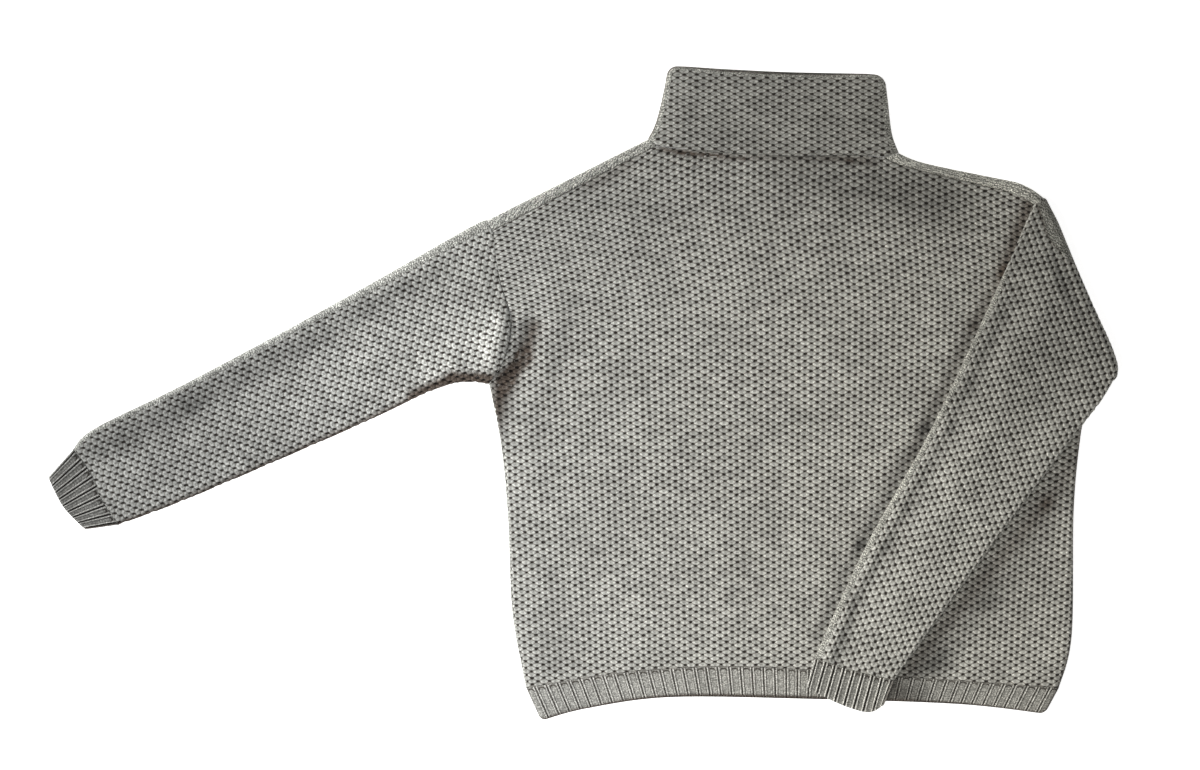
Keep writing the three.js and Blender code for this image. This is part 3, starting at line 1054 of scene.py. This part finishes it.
def makeCuff(name, join, end, middle, tone):
    outline = patch(join, end, through(join(0), end(0)), through(join(1), end(1)))
    bm, u, v, outside, face, atFold = openTube(cuff["around"], cuff["along"])
    ends = (sewn, cutEnd)
    corner = (1, cuff["corner"])
    spots, rise, _, _ = layCloth(outline, u, v, outside, (rolled, rolled), ends, cloth["wall"], corner)
    base = np.column_stack([spots, middle + face * halfHeight(outside, rise, atFold)])
    ribs = u * cuff["ribs"] + 0.5
    part = ribs - np.round(ribs)
    part = np.sign(part) * 0.5 * np.abs(2 * part) ** cuff["wideGroove"]
    stitches = np.stack([np.round(ribs) + part, v * cuff["rows"]], axis=1)
    height = ribRelief(stitches, cuff["deep"]) * smoothStep(np.minimum(v, 1 - v), 0, 1 / 12)
    # painted shade along its low edge
    shade = 0.9 * smoothStep(u, *cuff["lowShade"]) * (face > 0)
    # painted light and shade: light cords and darker columns between them
    beside = np.abs(part)
    cord = bell(beside, 0.16, 0.1)
    valley = bell(beside, 0, 0.08) + 0.7 * bell(beside, 0.34, 0.1)
    tone = tone * (0.85 + (0.6 * cord - 0.5 * valley) * (face > 0))
    return finishPiece(name, bm, base, outside, stitches, height, v * cuff["high"], ribKnit, tone, shade)


leftSleeve = {
    "around": 180,  # faces
    "along": 312,
    "foldRadius": 4.6,  # from there to the middle of the sleeve
    "tipRadius": 2.4,  # the same at the shoulder's tip, where the fold is pressed down
    "flatShare": 1 / 13,  # share of the length before the fold
    "turnShare": 2 / 13,  # and at the fold's end
    "startScale": 400,  # millimetres to its whole length, as counted at the armhole and at the cuff
    "endScale": 560,
    "roundCorner": 16,  # reach of the round corner at the fold's lower end
    "column": 4.85,
    "row": 8.5,
    "relief": (1.7, 0.3, 1.0),
    "stripSeam": ((169, 185, 193, 220, 240), (280, 263, 257, 249, 241)),  # edge of the smooth strip: y, x
    "sideOn": (6, 9.5),  # how much of the inner edge shows no holes
    "puff": 2.4,
    "puffReach": 22,
    "folds": [
        ((262, 150), (110, -170), 24, 4),
        ((214, 140), (153, 2), 8, 2.4),  # along the inner edge
        ((153, 2), (88, -115), 8, 2.6),
        ((88, -115), (38, -225), 7, 2.6),
        ((204, 90), (122, -74), 10, -1.8),  # the trough beside it
        ((122, -74), (66, -170), 9, -1.8),
        ((66, -170), (47, -232), 7, -2.2),
        ((286, 70), (200, -70), 14, -1.2),
    ],
    "tones": [
        # painted light and shade: a lit ridge along the inner edge and the trough beside it
        ((318, 74), (292, 30), 16, 0.08),
        ((240, 215), (216, 160), 12, -0.14),
        ((206, 140), (150, 2), 7, 0.08),
        ((150, 2), (84, -115), 7, 0.1),
        ((84, -115), (34, -225), 6, 0.08),
        ((214, 120), (180, 41), 9, -0.14),
        ((180, 41), (122, -74), 12, -0.16),
        ((122, -74), (66, -170), 11, -0.18),
        ((66, -170), (47, -236), 8, -0.3),
    ],
}
foldLine = through((249.5, 231), (284, 147), (314, 80), (323, 49))
foldOut = np.array([0.912, 0.41])
foldOut = foldOut / np.linalg.norm(foldOut)
leftJoin = through((24, -228), (63, -240), (104, -250))
leftCuffEnd = through((16, -257), (50, -274), (78, -282), (93, -275))


def makeLeftSleeve():
    s = leftSleeve
    roll = cloth["roll"]
    start = through((238, 238), leftTipSeam)  # tucked below the shoulder's band
    armhole = moved(chain((start, 0.03), (backwards(leftArmhole), 1)), cloth["seamGap"], 0)
    inner = through(foldLine(0), (242, 222), (209, 147), (141, 2), (76, -115), leftJoin(0))
    outer = through(foldLine(1), (309, 26), (285, -5), (187, -136), leftJoin(1))
    laid = patch(foldLine, leftJoin, inner, outer)

    def outline(u, v):
        before = np.clip(v / s["flatShare"], 0, 1)[..., None]
        after = np.clip((v - s["turnShare"]) / (1 - s["turnShare"]), 0, 1)
        below = armhole(u) * (1 - before) + foldLine(u) * before
        return np.where((v < s["turnShare"])[..., None], below, laid(u, after))

    bm, u, v, outside, face, atFold = openTube(s["around"], s["along"])
    across = outline(np.ones_like(v), v) - outline(np.zeros_like(v), v)
    width = np.linalg.norm(across, axis=1)
    share, drop, spare = turnEdges(u, width, rolled, rolled)
    inset = cloth["wall"] / width
    share = np.where(outside, share, inset + u * (1 - 2 * inset))
    spots = outline(share, v)
    shown = face < 0
    laidOn = v > s["turnShare"]
    sideRise = 1 - drop / roll
    toEnd = np.minimum(v * s["startScale"], (1 - v) * s["endScale"])
    tall = halfHeight(outside, sideRise * (1 - sewn[1] / roll * (1 - smoothStep(toEnd, -2, 5))), atFold)
    # past the fold it swells and has its ridges and troughs
    laidFlat = smoothStep(v, s["turnShare"], s["turnShare"] + 0.05)
    edge = np.minimum(share, 1 - share) * width
    tall = shapeUpper(tall, s, spots, outside, sideRise, edge, shown, atFold, laidFlat)
    angle = math.pi * np.clip((v - s["flatShare"]) / (s["turnShare"] - s["flatShare"]), 0, 1)
    toTip = np.linalg.norm(spots - foldLine(0), axis=1)
    foldRadius = s["tipRadius"] + (s["foldRadius"] - s["tipRadius"]) * smoothStep(toTip, 0, 34)
    offset = face * tall - foldRadius
    toCorner = np.linalg.norm(spots - foldLine(1), axis=1)
    rounded = np.sqrt(1 - (1 - np.clip(toCorner / s["roundCorner"], 0, 1)) ** 2)
    bulge = np.sin(angle) * np.where(v < s["turnShare"], 0.2 + 0.8 * rounded, 1)
    plan = spots - foldOut * (bulge * offset)[:, None]
    base = np.column_stack([plan, roll + foldRadius + np.cos(angle) * offset])
    # the stitches follow the cloth over the fold
    outRadius = s["foldRadius"] + roll
    toFold = np.linalg.norm(foldLine(share) - spots, axis=1)
    beyond = np.where(v < s["flatShare"], outRadius * math.pi + 2 * toFold, outRadius * (math.pi - angle))
    beyond = np.where(laidOn, 0, beyond)
    flat = spots + foldOut * beyond[:, None] + across / width[:, None] * np.where(outside, spare, 0)[:, None]
    stitches = straightStitches(flat, (250, 140), (-0.48, -0.877), s["column"], s["row"])
    # the smooth strip of the shoulder that shows at the fold, and its seam
    x = base[:, 0]
    y = base[:, 1]
    seamX = np.interp(y, *s["stripSeam"])
    strip = smoothStep(x - seamX, -1, 1) * smoothStep(y, 166, 172) * (v > s["flatShare"])
    shade = 0.7 * smoothStep(-np.abs(x - seamX), -2.4, 0) * smoothStep(y, 160, 170) * laidOn
    # the inner edge is seen from its side
    sideOn = (1 - smoothStep(u * width, *s["sideOn"])) * laidOn * smoothStep(-y, -166, -150)
    plain = np.maximum(strip, sideOn)
    height = honeycombRelief(stitches, *s["relief"]) * smoothStep(toEnd, 0, 4) * np.where(shown, 1, 0.4)
    height = height * (1 - plain) - 0.2 * plain
    # painted shade darkens it towards the shoulder, with painted light and shade along its inner edge
    tone = 0.97 - 0.24 * smoothStep(spots[:, 1], -80, 100) + lift(s["tones"], spots) * laidOn
    tone += 0.08 * sideOn
    return finishPiece("leftSleeveCloth", bm, base, outside, stitches, height, plain, foldedKnit, tone, shade)


def makeLeftCuff():
    join = moved(leftJoin, 0, -cloth["seamGap"])
    middle = cloth["roll"] + 2 * leftSleeve["foldRadius"]
    return makeCuff("leftCuffRib", join, leftCuffEnd, middle, cuff["left"])


collar = {
    "around": 276,  # faces
    "up": 48,
    "column": 6.4,
    "row": 6.4,
    "wide": 230,
    "high": 85,
    "neckStart": 0.045,  # shares of its foot where the neck line starts and ends
    "neckEnd": 0.94,
    "puff": 1.6,
    "puffReach": 16,
    "corner": 9,
    "sideOn": (6, 10),  # how much of its folds and of its top edge shows no holes
    "topOn": (4, 7),
    "folds": [
        ((-112, 300), (-104, 345), 12, 1.2),
        ((-60, 290), (-66, 350), 16, -0.8),
        ((70, 290), (76, 345), 14, 1.0),
        ((10, 285), (4, 350), 24, 0.6),
    ],
}


def makeCollar():
    s = collar

    def foot(neck):
        first = through(rightNeck, rightNeckSeam)
        last = through(leftNeckSeam, leftNeck)
        whole = chain((first, s["neckStart"]), (neck, s["neckEnd"]), (last, 1))
        return moved(whole, 0, cloth["seamGap"])

    frontFoot = foot(frontNeck)
    frontTop = through((-122, 364), (-100, 363), (-55, 359), (20, 355.5), (75, 356), (95, 354))
    backTop = through((-122, 364), (-100, 363.5), (-55, 360), (20, 356.5), (75, 356.5), (95, 354))
    right = through(frontFoot(0), (-134, 308), (-126, 340), frontTop(0))
    left = through(frontFoot(1), (102, 297), (98, 330), frontTop(1))
    bm, u, v, outside, face, atFold = openTube(s["around"], s["up"])
    over = face > 0
    corner = (1, s["corner"])
    ends = (sewn, softEnd)
    laid = []
    for low, high in ((frontFoot, frontTop), (foot(backNeck), backTop)):
        outline = patch(low, high, right, left)
        laid.append(layCloth(outline, u, v, outside, (rolled, rolled), ends, cloth["wall"], corner))
    (spots, rise, flat, edge), (backSpots, _, backFlat, _) = laid
    spots = np.where(over[:, None], spots, backSpots)
    flat = np.where(over[:, None], flat, backFlat)
    tall = halfHeight(outside, rise, atFold)
    tall = shapeUpper(tall, s, spots, outside, rise, edge, over, atFold)
    base = np.column_stack([spots, cloth["roll"] + face * tall])
    stitches = wander(np.stack([(flat[:, 0] + 10) / s["column"], flat[:, 1] / s["row"]], axis=1))
    plain = 1 - smoothStep(np.minimum(u, 1 - u) * s["wide"], *s["sideOn"])
    plain = np.maximum(plain, 1 - smoothStep((1 - v) * s["high"], *s["topOn"]))
    height = honeycombRelief(stitches) * smoothStep(np.minimum(v, 1 - v) * s["high"], 0, 3) * (1 - plain)
    # painted shade darkens it, less so towards its left; its smooth rims are paler
    tone = 0.67 + 0.12 * smoothStep(spots[:, 0], -20, -130) + 0.4 * plain
    return finishPiece("collarCloth", bm, base, outside, stitches, height, plain, honeycombKnit, tone)


# every piece, with its cut

cuts = {  # how it is made, its cloth, its flat size and area, and how it lies
    "back": (makeBack, "honeycomb_knit", (0.60, 0.57), 0.290, "laid", []),
    "front": (makeFront, "honeycomb_knit", (0.60, 0.56), 0.284, "laid", ["back"]),
    "hem_back": (makeBackHem, "rib_knit", (0.535, 0.034), 0.0143, "laid", []),
    "hem_front": (makeFrontHem, "rib_knit", (0.535, 0.034), 0.0138, "laid", ["hem_back"]),
    "right_sleeve": (makeRightSleeve, "honeycomb_knit", (0.34, 0.46), 0.108, "laid", []),
    "right_cuff": (makeRightCuff, "rib_knit", (0.19, 0.036), 0.0058, "laid", []),
    "left_sleeve": (makeLeftSleeve, "honeycomb_knit", (0.43, 0.58), 0.125, "folded", ["front"]),
    "left_cuff": (makeLeftCuff, "rib_knit", (0.19, 0.036), 0.0058, "laid", ["front", "hem_front"]),
    "collar": (makeCollar, "honeycomb_knit", (0.50, 0.09), 0.040, "laid", []),
}
for node, (make, slot, flatSize, area, held, restsOn) in cuts.items():
    piece = make()
    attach(piece, "root")
    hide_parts(node)


# floor, light and camera

studio = {
    "floor": (0.93, 0.93, 0.925),
    "floorGlow": 0.8,
    "sky": 0.2,
    "lamps": [  # where from, aimed at, size, power
        ((-2.0, 0.75, 1.2), (-0.1, 0.0, 0), 0.7, 44),
        ((-0.40, -0.55, 0.9), (-0.35, -0.4, 0), 0.6, 8.5),
    ],
    "lens": 200,
    "sensor": 36,
    "level": 0.008,  # height at which the seen width is measured
    "middle": (-0.190, 0.045),  # what the camera looks down on
    "seen": 1.2,  # width of what it sees
}


def makeFloor():
    bm = bmesh.new()
    bmesh.ops.create_grid(bm, x_segments=1, y_segments=1, size=6)
    bmesh.ops.translate(bm, verts=bm.verts, vec=(0, 0, -0.0002))
    mesh = bpy.data.meshes.new("paperFloor")
    bm.to_mesh(mesh)
    bm.free()
    material, tree = newMaterial("paper")
    surface = {
        "Base Color": studio["floor"],
        "Roughness": 0.9,
        "Specular IOR Level": 0.1,
        "Emission Color": (1, 1, 1),
        "Emission Strength": studio["floorGlow"],
    }
    finishMaterial(tree, surface)
    mesh.materials.append(material)
    floor = bpy.data.objects.new("paperFloor", mesh)
    bpy.context.collection.objects.link(floor)


def aim(thing, target):
    away = np.array(thing.location) - np.array(target)
    flat = math.hypot(away[0], away[1])
    thing.rotation_euler = (math.atan2(flat, away[2]), 0, math.atan2(away[1], away[0]) + math.pi / 2)


def makeLight():
    world = bpy.data.worlds.new("softRoom")
    world.use_nodes = True
    background = world.node_tree.nodes["Background"]
    fill(background, {"Color": (1, 1, 1), "Strength": studio["sky"]})
    bpy.context.scene.world = world
    for place, target, size, power in studio["lamps"]:
        lamp = bpy.data.lights.new("softLamp", "AREA")
        lamp.energy = power
        lamp.size = size
        lamp.color = (1.0, 0.99, 0.97)
        holder = bpy.data.objects.new("softLamp", lamp)
        holder.location = place
        aim(holder, target)
        bpy.context.collection.objects.link(holder)


def makeCamera():
    lens = bpy.data.cameras.new("camera")
    lens.lens = studio["lens"]
    lens.sensor_width = studio["sensor"]
    distance = studio["seen"] * studio["lens"] / studio["sensor"]
    lens.clip_end = 100
    camera = bpy.data.objects.new("camera", lens)
    camera.location = (*studio["middle"], distance + studio["level"])
    bpy.context.collection.objects.link(camera)
    bpy.context.scene.camera = camera


makeFloor()
makeLight()
makeCamera()
bpy.context.scene.view_settings.view_transform = "Standard"
print("studio made")
